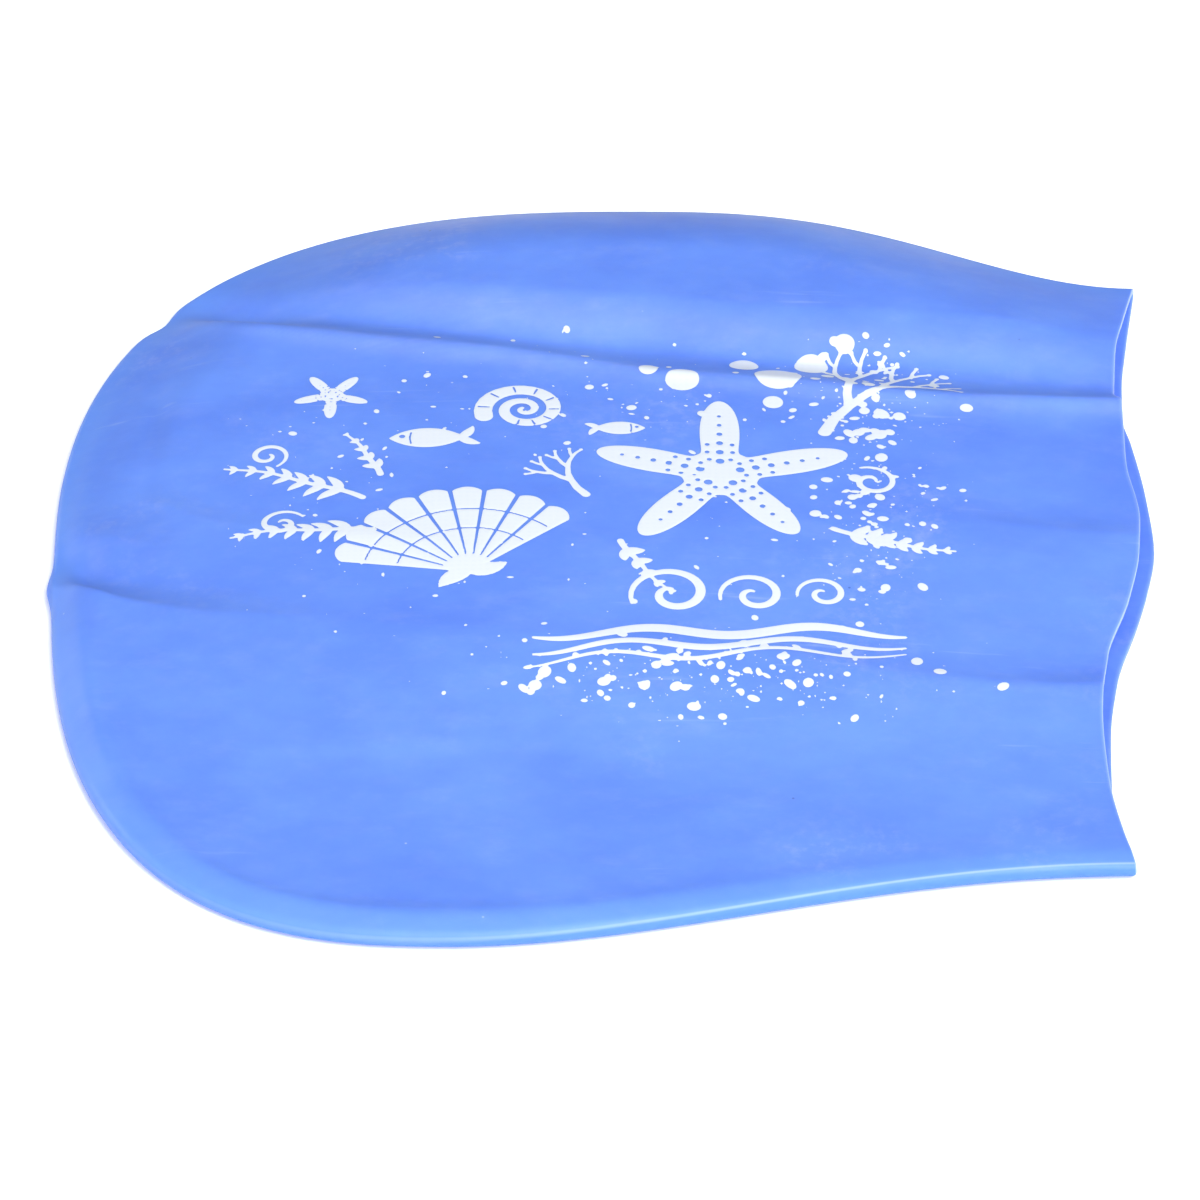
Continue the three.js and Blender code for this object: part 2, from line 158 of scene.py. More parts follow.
# eight stations along, and for each the nine lines' places across and their heights
STATIONS = np.array([0.00, 0.12, 0.25, 0.40, 0.55, 0.70, 0.85, 1.00])
ACROSS = np.array([
    (-0.620, -0.500, -0.441, -0.130, 0.100, 0.620, 0.740, 0.776, 0.840),
    (-0.790, -0.650, -0.590, -0.230, 0.100, 0.590, 0.680, 0.712, 0.770),
    (-0.920, -0.590, -0.545, -0.270, 0.080, 0.505, 0.595, 0.632, 0.690),
    (-0.950, -0.575, -0.530, -0.310, 0.060, 0.460, 0.538, 0.573, 0.630),
    (-0.890, -0.585, -0.540, -0.350, 0.030, 0.398, 0.500, 0.537, 0.598),
    (-0.820, -0.620, -0.570, -0.390, 0.000, 0.374, 0.468, 0.507, 0.570),
    (-0.790, -0.670, -0.630, -0.420, -0.030, 0.346, 0.468, 0.514, 0.584),
    (-0.760, -0.690, -0.650, -0.400, 0.000, 0.368, 0.440, 0.484, 0.545)])
HEIGHTS = np.array([
    (0.330, 0.370, 0.420, 0.560, 0.580, 0.560, 0.400, 0.424, 0.440),
    (0.310, 0.400, 0.460, 0.720, 0.730, 0.760, 0.530, 0.520, 0.520),
    (0.310, 0.440, 0.490, 0.810, 0.870, 0.880, 0.750, 0.785, 0.800),
    (0.300, 0.445, 0.505, 0.840, 0.930, 0.880, 0.765, 0.900, 1.035),
    (0.290, 0.435, 0.500, 0.820, 0.930, 0.880, 0.755, 0.900, 1.040),
    (0.270, 0.385, 0.440, 0.740, 0.860, 0.830, 0.695, 0.845, 1.005),
    (0.250, 0.315, 0.360, 0.600, 0.750, 0.720, 0.600, 0.710, 0.830),
    (0.235, 0.260, 0.295, 0.480, 0.600, 0.550, 0.460, 0.500, 0.545)])

# each pleat: rise in front, drop and fade behind, then rows of along, across, lip and pit
PLEATS = {
    "upper": (0.09, 0.074, 0.10, np.array([
        (0.00, 0.830, 0.00, 0.00), (0.11, 0.645, 0.06, 0.22), (0.18, 0.545, 0.06, 0.18),
        (0.26, 0.508, 0.06, 0.05), (0.36, 0.476, 0.075, 0.02), (0.46, 0.442, 0.065, 0.03),
        (0.56, 0.396, 0.06, 0.03), (0.68, 0.378, 0.06, 0.03), (0.80, 0.352, 0.07, 0.05),
        (0.92, 0.358, 0.09, 0.08), (1.00, 0.374, 0.09, 0.07)])),
    "upper_crest": (0.030, 0.052, 0.03, np.array([
        (0.00, 0.830, 0.00, 0.00), (0.11, 0.645, 0.028, 0.00), (0.18, 0.545, 0.032, 0.00),
        (0.26, 0.508, 0.034, 0.00), (0.36, 0.476, 0.036, 0.00), (0.46, 0.442, 0.034, 0.00),
        (0.56, 0.396, 0.034, 0.00), (0.68, 0.378, 0.040, 0.00), (0.80, 0.352, 0.046, 0.00),
        (0.92, 0.358, 0.048, 0.00), (1.00, 0.374, 0.040, 0.00)])),
    "middle": (0.12, 0.055, 0.12, np.array([
        (0.00, -0.080, 0.06, 0.26), (0.03, -0.142, 0.08, 0.26), (0.06, -0.183, 0.07, 0.15),
        (0.14, -0.237, 0.05, 0.04), (0.23, -0.264, 0.03, 0.015), (0.34, -0.288, 0.025, 0.010),
        (0.50, -0.330, 0.025, 0.015), (0.63, -0.353, 0.03, 0.02), (0.77, -0.392, 0.05, 0.04),
        (0.88, -0.408, 0.07, 0.06), (0.96, -0.395, 0.08, 0.07), (1.00, -0.380, 0.08, 0.06)])),
    "near": (0.040, 0.050, 0.06, np.array([
        (0.00, -0.660, 0.00, 0.00), (0.09, -0.600, 0.012, 0.00), (0.25, -0.548, 0.022, 0.00),
        (0.40, -0.532, 0.020, 0.00), (0.55, -0.540, 0.018, 0.00), (0.66, -0.560, 0.010, 0.00),
        (0.75, -0.580, 0.00, 0.00), (1.00, -0.620, 0.00, 0.00)])),
    "lobe": (0.14, 0.055, 0.08, np.array([
        (0.00, 0.035, 0.00, 0.00), (0.74, 0.030, 0.00, 0.00), (0.80, 0.020, 0.02, 0.01),
        (0.88, -0.003, 0.04, 0.02), (0.95, -0.010, 0.05, 0.03), (1.00, -0.008, 0.06, 0.03)])),
    "crown": (0.10, 0.050, 0.07, np.array([
        (0.00, 0.130, 0.00, 0.00), (0.05, 0.110, 0.00, 0.00), (0.09, 0.080, 0.020, 0.015),
        (0.155, 0.000, 0.020, 0.015), (0.30, -0.056, 0.012, 0.008), (0.44, -0.090, 0.00, 0.00),
        (1.00, -0.090, 0.00, 0.00)])),
}

# along, across, reach along, reach across, depth
DENTS = [(0.065, 0.09, 0.035, 0.09, 0.06), (0.088, 0.33, 0.012, 0.13, 0.065),
         (0.115, -0.52, 0.045, 0.14, 0.05), (0.220, -0.76, 0.070, 0.10, 0.04),
         (0.920, -0.22, 0.140, 0.09, 0.11), (0.940, -0.60, 0.080, 0.11, 0.03)]
ROLL = dict(inset=0.048, reach=0.024, crown=0.045, mouth=0.012)
SHOULDER = dict(near_crown=0.060, near_mouth=0.042, far=0.30)
NUDGES = [(0.004, -0.075, -1.0, 0.0, 0.0050, 0.024), (0.098, 0.640, -0.62, 0.78, -0.0080, 0.020)]
print("tables for", len(PLEATS), "pleats and", len(DENTS), "dents")

# %% [markdown]
# Every table is read through one smooth curve. A plain spline would overshoot between close rows and
# add bumps the rubber doesn't have, so the slopes are set low enough that it never does.

# %% Curve helpers
def blend_curve(xs, ys, x):
    """Cubic through (xs, ys) at x. Slope at a row: the harmonic mean of the two chords beside it, or
    zero where they change sign. xs and ys may be rows of one curve per point of x."""
    x = np.asarray(x, float)
    shape, x = x.shape, x.ravel()
    xs, ys = (np.broadcast_to(np.asarray(t, float).reshape(len(t), -1), (len(t), x.size)) for t in (xs, ys))
    x = np.clip(x, xs[0], xs[-1])
    step = np.diff(xs, axis=0)
    chord = np.diff(ys, axis=0) / step
    with np.errstate(divide="ignore", invalid="ignore"):
        inner = np.where(chord[:-1] * chord[1:] > 0, 2 * chord[:-1] * chord[1:] / (chord[:-1] + chord[1:]), 0)
    slope = np.concatenate([chord[:1], inner, chord[-1:]])
    i = np.clip((x > xs).sum(0) - 1, 0, len(xs) - 2)[None]
    take = lambda rows, k: np.take_along_axis(rows, k, 0)[0]
    h = take(step, i)
    t = (x - take(xs, i)) / h
    t2, t3 = t * t, t ** 3
    return (take(ys, i) * (2 * t3 - 3 * t2 + 1) + take(ys, i + 1) * (3 * t2 - 2 * t3)
            + h * (take(slope, i) * (t3 - 2 * t2 + t) + take(slope, i + 1) * (t3 - t2))).reshape(shape)

def mix(a, b, t):
    """a at t = 0, b at t = 1, in a straight line between."""
    return a + (b - a) * t

def ease(a, b, x):
    """0 below a, 1 above b, and the S-shaped 3t^2 - 2t^3 between them."""
    t = np.clip((x - a) / (b - a), 0, 1)
    return t * t * (3 - 2 * t)

def share_along(x):
    """0 at the crown, 1 at the mouth."""
    return (x + HALF_LENGTH) / LENGTH

print("middle of the brow line:", round(float(blend_curve(STATIONS, HEIGHTS[:, 8], 0.5)), 3))

# %% [markdown]
# Seen from above, each side of the cap is a blunt arc from the crown to its widest point, then an easy
# taper to the corner of the mouth. The distance from that line matters most, because the fold, its
# roll and the slope up to the full height all follow it.

# %% Outline and distance from the fold
def half_width(side, x):
    """Blunt arc full * (1 - u^blunt)^(1/full power) up to the widest point, then half a cosine wave."""
    widest, full = -HALF_LENGTH + side["widest"] * LENGTH, HALF_WIDTH - side["sign"] * CENTRE_Y
    u = np.clip((widest - x) / (side["widest"] * LENGTH), 0, 1)
    arc = full * (1 - u ** side["blunt"]) ** (1 / side["full"])
    corner = -HALF_LENGTH + side["corner"] * LENGTH
    end = side["corner_y"] * HALF_WIDTH - side["sign"] * CENTRE_Y
    t = np.clip((x - widest) / (corner - widest), 0, 1) ** side["ease"]
    return np.where(x <= widest, arc, mix(full, end, (1 - np.cos(np.pi * t)) / 2))

def fold_line(side):
    """The fold as a chain of points from the crown to the mouth corner, with its running length."""
    i = np.arange(1601) / 1600
    crown_part = side["widest"] * (1 - np.cos(np.pi * np.minimum(i, 0.5)) ** (2 / side["full"]))
    share = np.where(i < 0.5, crown_part, mix(side["widest"], side["corner"], 2 * i - 1))
    x = -HALF_LENGTH + share * LENGTH
    y = CENTRE_Y + side["sign"] * half_width(side, x)
    return x, y, np.concatenate([[0], np.cumsum(np.hypot(np.diff(x), np.diff(y)))])

def on_fold(line, share):
    """Point of a fold line at that share of its length."""
    x, y, run = line
    return np.interp(share * run[-1], run, x), np.interp(share * run[-1], run, y)

def from_fold(x, y):
    """Distance from the folded edge: how far the squared half width exceeds v squared, over its slope."""
    v = y - CENTRE_Y
    def to(side):
        w = half_width(side, x)
        dw = (half_width(side, x + 0.01) - half_width(side, x - 0.01)) / 0.02
        return np.maximum(0, (w * w - v * v) / (2 * np.hypot(w * dw, v) + 1e-6))
    return mix(to(NEAR), to(FAR), ease(-0.2, 0.2, v / HALF_WIDTH))

NEAR_LINE, FAR_LINE = fold_line(NEAR), fold_line(FAR)
print("fold, near and far, mm:", round(NEAR_LINE[2][-1], 1), round(FAR_LINE[2][-1], 1))

# %% [markdown]
# The upper sheet is a height over the plan: a rounded fold, a slope up to the swell, and on it the
# pleats, which rise gently from the near side and drop away behind a soft lip. The lip of real rubber
# is never a knife edge, so each pleat is averaged over about a millimetre to either side.

# %% Heights of the two sheets
def round_fold(d):
    """Quarter circle of the fold radius: height above its middle at a distance d from the edge."""
    return np.sqrt(np.maximum(0, FOLD_RADIUS ** 2 - (FOLD_RADIUS - np.minimum(d, FOLD_RADIUS)) ** 2))

def edge_lift(d):
    """The fold stands off the floor, and the lower sheet curls up to it as (1 - d / curl)^2."""
    return EDGE_LIFT * (1 - np.minimum(d / EDGE_CURL, 1)) ** 2

def swell(x, y):
    """Height across one section, a smooth curve through the nine lines at that place along."""
    t = share_along(x)
    across = np.array([HALF_WIDTH * blend_curve(STATIONS, ACROSS[:, k], t).ravel() for k in range(9)])
    height = np.array([SWELL * blend_curve(STATIONS, HEIGHTS[:, k], t).ravel() for k in range(9)])
    return blend_curve(across, height, y)

LIP_SOFTNESS = 0.0065  # of the half width
# offset in softnesses, weight
LIP_TAPS = [(-1.6, 0.08), (-0.8, 0.24), (0.0, 0.36), (0.8, 0.24), (1.6, 0.08)]

def pleat_height(pleat, x, y):
    """lip * (1 + past / front)^2 in front, (lip + pit) * (1 - past / 1.7 drop)^2 - pit behind the lip, and
    an S-shaped fade back to nothing. past is the distance behind the pleat's line."""
    front, drop, back, rows = pleat
    t = share_along(x)
    past = y / HALF_WIDTH - blend_curve(rows[:, 0], rows[:, 1], t)
    lip, pit = (SWELL * blend_curve(rows[:, 0], rows[:, k], t) for k in (2, 3))
    def profile(p):
        rise = lip * np.maximum(0, 1 + p / front) ** 2
        fall = (lip + pit) * np.maximum(0, 1 - p / (1.7 * drop)) ** 2 - pit
        return np.where(p < 0, rise, fall + pit * ease(drop, drop + back, p))
    return sum(w * profile(past + o * LIP_SOFTNESS) for o, w in LIP_TAPS)

def upper_height(x, y):
    """Fold, then the body of the sheet opened by 1 - (1 - d / shoulder)^2.1 inside the fold."""
    d = from_fold(x, y)
    near = mix(SHOULDER["near_crown"], SHOULDER["near_mouth"], np.clip(share_along(x), 0, 1))
    shoulder = HALF_WIDTH * mix(near, SHOULDER["far"], ease(-0.60, 0.70, y / HALF_WIDTH))
    opened = 1 - (1 - np.minimum(d / shoulder, 1)) ** 2.1
    body = swell(x, y) + sum(pleat_height(p, x, y) for p in PLEATS.values())
    for along, across, reach_x, reach_y, depth in DENTS:
        u, v = (share_along(x) - along) / reach_x, (y / HALF_WIDTH - across) / reach_y
        body = body - depth * SWELL * np.exp(-u * u - v * v)
    roll = mix(ROLL["crown"], ROLL["mouth"], ease(0.15, 0.75, share_along(x))) * ease(0.62, 0.30, y / HALF_WIDTH)
    body = body + SWELL * roll * np.exp(-((d / HALF_WIDTH - ROLL["inset"]) / ROLL["reach"]) ** 2)
    return edge_lift(d) + FOLD_RADIUS + round_fold(d) + (body - FOLD) * opened

def lower_height(x, y):
    """The lower sheet lies flat inside its curled edge."""
    d = from_fold(x, y)
    return edge_lift(d) + FOLD_RADIUS - round_fold(d)

print("height over the brow, mm:", round(float(upper_height(np.array([0.0]), np.array([80.0]))[0]), 2))

# %% [markdown]
# One closed grid makes the whole shell. Its first number runs from the crown to the mouth, its second
# goes once round: from the near fold over the top to the far fold and back below. A grid of squares
# laid over the plan would leave steps along the curved edge, while these rings end exactly on the fold.

# %% Rings from the crown to the mouth
CORNERS = [on_fold(NEAR_LINE, 1.0), on_fold(FAR_LINE, 1.0)]

def ring_plan(s, phi, rim):
    """Plan of the ring s at the turn phi: halfway between its two ends on the folds, y runs with
    sin(phi), and x bulges with cos(phi) towards the middle of the mouth."""
    s, phi = s[:, None], phi[None]
    edge = 1 - (1 - s) ** 1.4
    (ax, ay), (bx, by) = on_fold(NEAR_LINE, edge), on_fold(FAR_LINE, edge)
    (cx, cy), (ex, ey) = CORNERS
    middle_x = mix(-HALF_LENGTH, (cx + ex) / 2, s ** 1.15)
    middle_y = mix(CENTRE_Y, (cy + ey) / 2, s * s)
    f, g = np.sin(phi), np.cos(phi)
    y = mix(ay, by, (1 + f) / 2) + (middle_y - (ay + by) / 2) * g * g
    x = mix(ax, bx, (1 + f) / 2) + (middle_x - (ax + bx) / 2) * g
    return x + ease(0.62, 1, s) * LENGTH * blend_curve(MOUTH[:, 0], MOUTH[:, rim], y / HALF_WIDTH), y

NUDGE_FADE, NUDGE_LIMIT = 0.06, 0.27  # of the half width

def nudge_fold(x, y):
    """Where a pleat meets the fold it pushes the edge: out * exp(-cross^2) * exp(-d / fade)."""
    d, out = from_fold(x, y), [x, y]
    for along, across, turn_x, turn_y, push, reach in NUDGES:
        u, v = x + HALF_LENGTH - along * LENGTH, y - across * HALF_WIDTH
        cross = (u * turn_y - v * turn_x) / (reach * LENGTH)
        near = push * LENGTH * np.exp(-cross * cross - d / (NUDGE_FADE * HALF_WIDTH))
        near = near * (np.hypot(u, v) < NUDGE_LIMIT * HALF_WIDTH)
        out = [out[0] + near * turn_x, out[1] + near * turn_y]
    return out

def outer_skin(rings, over, under):
    """Points (ring, column, 3) of the outer skin: the upper sheet's columns, then the lower sheet's."""
    x, y = ring_plan(rings, over, 2)
    top = np.stack([*nudge_fold(x, y), upper_height(x, y)], -1)
    x, y = ring_plan(rings, under, 1)
    return np.concatenate([top, np.stack([*nudge_fold(x, y), lower_height(x, y)], -1)], 1)

def grid_normals(grid):
    """Unit normals of a grid whose columns close on themselves: the cross product of its two slopes."""
    along = np.gradient(grid, axis=0)
    round_it = (np.roll(grid, -1, 1) - np.roll(grid, 1, 1)) / 2
    n = np.cross(along, round_it)
    return n / np.maximum(np.linalg.norm(n, axis=-1, keepdims=True), 1e-9)

OVER, UNDER, OUTER_RINGS, INNER_RINGS = 200, 100, 200, 84
SHORT_OF_RIM = 0.0024
w = np.linspace(-1, 1, OVER + 1)
over = np.pi / 2 * (0.72 * w + 0.28 * w ** 3)
under = np.pi / 2 * np.linspace(1, -1, UNDER + 1)[1:-1]

def ring_steps(count):
    """Shares from crown to mouth, finer at the crown, with one more ring just short of the rim."""
    s = (np.arange(1, count + 1) / count) ** 1.5
    return np.concatenate([s[:-1], [1 - SHORT_OF_RIM, 1.0]])

outer = outer_skin(ring_steps(OUTER_RINGS), over, under)
print("outer skin, rings by columns:", outer.shape[:2])

# %% [markdown]
# The rubber has a real thickness, seen at the mouth as a fine bright line. The inner skin is the outer
# one moved in by the wall along its own normals, and a squared round lip joins the two at the rim.
# The Solidify modifier could do this too, but it would leave the rim flat and sharp.

# %% Inner skin and rim
coarse = outer_skin(ring_steps(INNER_RINGS), over, under)
inner = (coarse - WALL * grid_normals(coarse))[::-1]

def rim_lip(outside, before, inside, steps):
    """Rows from the outer rim to the inner one: half a turn with cosine and sine to the power 0.6."""
    middle, half = (outside + inside) / 2, (outside - inside) / 2
    thick = np.linalg.norm(half, axis=-1, keepdims=True)
    forward = outside - before
    forward -= half * (np.sum(forward * half, -1, keepdims=True) / thick ** 2)
    forward *= thick / np.linalg.norm(forward, axis=-1, keepdims=True)
    turn = np.linspace(0, np.pi, steps + 2)[1:-1, None, None]
    c, s = np.sign(np.cos(turn)) * np.abs(np.cos(turn)) ** 0.6, 0.55 * np.sin(turn) ** 0.6
    return middle[None] + c * half[None] + s * forward[None]

lip = rim_lip(outer[-1], outer[-2], inner[0], 7)
crown = np.array([-HALF_LENGTH, CENTRE_Y, float(lower_height(np.array(-HALF_LENGTH), np.array(CENTRE_Y)))])
rows = np.concatenate([outer, lip, inner])
poles = np.array([crown, crown + [WALL, 0, 0]])
shift = np.array([*((rows.reshape(-1, 3).max(0) + rows.reshape(-1, 3).min(0))[:2] / 2), rows[..., 2].min()])
box_middle = np.array([(low[0] + high[0]) / 2, (low[1] + high[1]) / 2, 0]) / MM
shift = shift - box_middle
print("moved to the packed box by, mm:", (-shift).round(3).tolist())

# %% [markdown]
# Blender takes a mesh fastest as whole arrays: all places at once, then all corner numbers. The rings
# are joined into squares, and a fan of triangles closes each end, so the shell is watertight.

# %% Rubber shell
def lay_mesh(name, points, quads, tris):
    """A mesh from points in millimetres and arrays of corner numbers, anticlockwise from outside."""
    mesh = bpy.data.meshes.new(name)
    corners = np.concatenate([quads.ravel(), tris.ravel()]).astype(np.int32)
    sizes = np.repeat([4, 3], [len(quads), len(tris)])
    mesh.vertices.add(len(points))
    mesh.vertices.foreach_set("co", (points * MM).astype(np.float32).ravel())
    mesh.loops.add(len(corners))
    mesh.loops.foreach_set("vertex_index", corners)
    mesh.polygons.add(len(sizes))
    mesh.polygons.foreach_set("loop_start", (np.cumsum(sizes) - sizes).astype(np.int32))
    mesh.polygons.foreach_set("use_smooth", np.ones(len(sizes), bool))
    mesh.update(calc_edges=True)
    mesh.validate()
    made = bpy.data.objects.new(name, mesh)
    scene.collection.objects.link(made)
    return made

def closed_shell(name, rows, poles):
    """Joins each row of the grid to the next, closes the columns, and fans both ends to their poles."""
    n, m = rows.shape[:2]
    number = np.arange(n * m).reshape(n, m)
    here, there = number[:-1], number[1:]
    quads = np.stack([here, there, np.roll(there, -1, 1), np.roll(here, -1, 1)], -1).reshape(-1, 4)
    first, last = number[0], number[-1]
    start = np.stack([np.full(m, n * m), first, np.roll(first, -1)], -1)
    end = np.stack([last, np.full(m, n * m + 1), np.roll(last, -1)], -1)
    points = np.concatenate([rows.reshape(-1, 3), poles]) - shift
    return lay_mesh(name, points, quads, np.concatenate([start, end]))

cap = closed_shell("cap_rubber", rows, poles)
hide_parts("cap_shell")
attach(cap, "root")
print("cap_rubber triangles:", sum(len(p.vertices) - 2 for p in cap.data.polygons))

# %% [markdown]
# Painted highlights and shade and the powder follow the cap's own form, which solid noise knows nothing
# of. So three numbers are stored on every point: how much the rim lip is painted paler, how far the fold
# is (below zero on the lower sheet), and how much powder and painted highlight lies there. Painting them by
# hand would do as well, but not so evenly.

# %% Numbers for the material
def keep_value(piece, name, values):
    """Stores one number per point, for the material to read."""
    attribute = piece.data.attributes.new(name, "FLOAT", "POINT")
    attribute.data.foreach_set("value", values.astype(np.float32))

# Painted highlight: the rim lip is painted paler, with less on the lower lip than on the upper one.
rim_highlight_paint = np.zeros(rows.shape[:2])
rim_highlight_paint[len(outer):len(outer) + len(lip) + 1] = 1.0
rim_highlight_paint[len(outer) - 1] = 0.35
rim_highlight_paint[len(outer) - 1:, OVER + 1:] *= 0.3
FAR_IN = 40.0
fold_mm = np.full(rows.shape[:2], FAR_IN)
fold_mm[:len(outer)] = np.minimum(from_fold(outer[..., 0], outer[..., 1]), FAR_IN)
fold_mm[:len(outer), OVER + 1:] *= -1
keep_value(cap, "fold_mm", np.concatenate([fold_mm.ravel(), [FAR_IN, FAR_IN]]))
keep_value(cap, "painted_rim_highlight", np.concatenate([np.clip(rim_highlight_paint, 0, 1).ravel(), [0, 0]]))

def powder_and_highlight_band(line, spread, amount):
    """Powder and painted highlight along a line: amount * exp(-((y - line) / spread)^2), as shares of the half width.
    """
    t = share_along(outer[:, :OVER + 1, 0])
    past = outer[:, :OVER + 1, 1] / HALF_WIDTH - line(t)
    return blend_curve(amount[:, 0], amount[:, 1], t) * np.exp(-(past / spread) ** 2)

# along, amount
CREST_POWDER_AND_HIGHLIGHT = np.array([
    (0.00, 0.00), (0.15, 0.30), (0.28, 0.90), (0.40, 1.00), (0.55, 0.60), (0.72, 0.80), (0.85, 0.50),
    (1.00, 0.80)])
GULLY_POWDER_AND_HIGHLIGHT = np.array([
    (0.00, 0.00), (0.18, 0.10), (0.34, 1.00), (0.50, 0.90), (0.65, 0.75), (0.80, 0.60), (1.00, 0.30)])
# Powder with painted highlight: a pale band just in front of the far crest, and one on the slope rising behind the
# gully, where the surface faces the front panel.
crest_rows = PLEATS["upper"][3]
powder_and_highlight = np.zeros(rows.shape[:2])
powder_and_highlight[:len(outer), :OVER + 1] = powder_and_highlight_band(
    lambda t: blend_curve(crest_rows[:, 0], crest_rows[:, 1], t) - 0.018, 0.022, CREST_POWDER_AND_HIGHLIGHT)
powder_and_highlight[:len(outer), :OVER + 1] += powder_and_highlight_band(
    lambda t: blend_curve(STATIONS, ACROSS[:, 6], t) + 0.048, 0.034, GULLY_POWDER_AND_HIGHLIGHT)
keep_value(cap, "powder_and_highlight", np.concatenate([powder_and_highlight.ravel(), [0, 0]]))
print("most powder:", round(float(powder_and_highlight.max()), 2))

# %% [markdown]
# A material is a small tree of nodes, and building one by hand in code repeats the same three moves: add
# a node, set its sockets, pass its output on. A few short names for these moves keep the two materials
# readable. The same trees could be drawn with the mouse in the shader editor.

# %% Node helpers
class Nodes:
    """Short names for building a material: add a node, set its sockets, return it."""
    def __init__(self, name):
        self.material = bpy.data.materials.new(name)
        self.material.use_nodes = True
        self.tree = self.material.node_tree
        self.shader = self.tree.nodes["Principled BSDF"]
        self.place = self.add("ShaderNodeTexCoord").outputs["Object"]

    def add(self, kind, sockets=None, **settings):
        node = self.tree.nodes.new(kind)
        for key, value in settings.items():
            setattr(node, key, value)
        for key, value in (sockets or {}).items():
            if isinstance(value, bpy.types.NodeSocket):
                self.tree.links.new(value, node.inputs[key])
            else:
                node.inputs[key].default_value = value
        return node

    def scaled(self, x, y, z, turn=0.0):
        """Object coordinates stretched by a factor along each axis after a turn about Z."""
        sockets = {"Vector": self.place, "Rotation": (0, 0, turn), "Scale": (x, y, z)}
        return self.add("ShaderNodeMapping", sockets).outputs[0]

    def noise(self, vector, scale, detail=3.0, rough=0.5):
        sockets = {"Vector": vector, "Scale": scale, "Detail": detail, "Roughness": rough}
        return self.add("ShaderNodeTexNoise", sockets).outputs["Fac"]

    def remap(self, value, a, b, to_a, to_b):
        sockets = {"Value": value, "From Min": a, "From Max": b, "To Min": to_a, "To Max": to_b}
        return self.add("ShaderNodeMapRange", sockets).outputs["Result"]

    def math(self, operation, a, b=0.0):
        return self.add("ShaderNodeMath", {0: a, 1: b}, operation=operation).outputs[0]

    def tint(self, amount, a, b):
        """Colour a where amount is 0, b where it is 1. Either may be a colour or a socket."""
        return self.add("ShaderNodeMix", {0: amount, 6: a, 7: b}, data_type="RGBA").outputs[2]

def specks(nodes, scale, size, share):
    """Sparse round dots: near a cell's point, and only in that share of the cells."""
    cells = nodes.add("ShaderNodeTexVoronoi", {"Vector": nodes.place, "Scale": scale})
    near = nodes.remap(cells.outputs["Distance"], size, size * 0.5, 0.0, 1.0)
    lot = nodes.add("ShaderNodeSeparateColor", {0: cells.outputs["Color"]}).outputs[0]
    return nodes.math("MULTIPLY", near, nodes.math("LESS_THAN", lot, share))

print("helpers ready for two materials")

# %% [markdown]
# The rubber is dyed through, satin rather than shiny, and handled: the blue drifts between two tones,
# with a faint whitish bloom in smudges, tiny specks of dust and a few hair scratches. All of it is solid
# noise on Object coordinates, so it needs no unwrapping and looks the same from every side.

# %% Satin blue rubber
BLUE_DEEP, BLUE_PALE = (0.121, 0.250, 0.885, 1), (0.149, 0.299, 0.955, 1)
r = Nodes("satin_blue_rubber")
cloud = r.noise(r.scaled(1.0, 1.5, 1.0, 0.3), 34.0, 6.0, 0.62)
body_colour = r.tint(r.remap(cloud, 0.36, 0.64, 0.0, 1.0), BLUE_DEEP, BLUE_PALE)
smear = r.noise(r.scaled(1.0, 2.0, 1.0, 0.35), 62.0, 8.0, 0.72)
bloom = r.remap(smear, 0.54, 0.80, 0.0, 0.10)
body_colour = r.tint(bloom, body_colour, (0.60, 0.66, 0.96, 1))
mottle = r.noise(r.scaled(1.0, 1.7, 1.0, 0.15), 150.0, 7.0, 0.68)
body_colour = r.tint(r.remap(mottle, 0.50, 0.74, 0.0, 0.07), body_colour, (0.42, 0.48, 0.95, 1))
smudged_area = r.remap(r.noise(r.place, 30.0, 2.0), 0.58, 0.72, 0.0, 1.0)
smudge = r.math("MULTIPLY", smudged_area, r.remap(r.noise(r.place, 420.0, 4.0, 0.7), 0.48, 0.66, 0.0, 0.13))
body_colour = r.tint(smudge, body_colour, (0.62, 0.62, 0.96, 1))
hair = r.noise(r.scaled(0.22, 3.4, 1.0, 0.7), 150.0, 3.0)
hair = r.math("MULTIPLY", r.remap(hair, 0.66, 0.74, 0.0, 0.16), r.remap(r.noise(r.place, 18.0), 0.50, 0.62, 0.0, 1.0))
body_colour = r.tint(hair, body_colour, (0.68, 0.76, 0.97, 1))
dark_dust, pale_dust = specks(r, 95.0, 0.030, 0.09), specks(r, 150.0, 0.045, 0.09)
body_colour = r.tint(r.math("MULTIPLY", dark_dust, 0.50), body_colour, (0.02, 0.05, 0.22, 1))
body_colour = r.tint(r.math("MULTIPLY", pale_dust, 0.50), body_colour, (0.70, 0.76, 0.95, 1))
print("rubber nodes for the blue:", len(r.tree.nodes))

# %% [markdown]
# Light and shade are painted along the edges and folds: the rim lip is painted paler as a highlight, the
# near fold gets a painted pale highlight line with painted shade in deep blue at its edge and on the
# underside, the band within 9 mm of the fold is painted a lighter blue, and powder lies with a painted
# highlight on the far crest and on the slope behind the gully.
# Each reads one of the numbers stored on the points, so it sits exactly on the form. How strong each
# is was set one by one, so part of the light and dark on the cap is colour and not relief.

# %% Painted highlights, painted shade and powder
# Painted highlight: the rim lip is painted a paler blue.
edge = r.add("ShaderNodeAttribute", attribute_name="painted_rim_highlight").outputs["Fac"]
body_colour = r.tint(r.math("MULTIPLY", edge, 0.34), body_colour, (0.70, 0.81, 0.99, 1))
from_edge = r.add("ShaderNodeAttribute", attribute_name="fold_mm").outputs["Fac"]
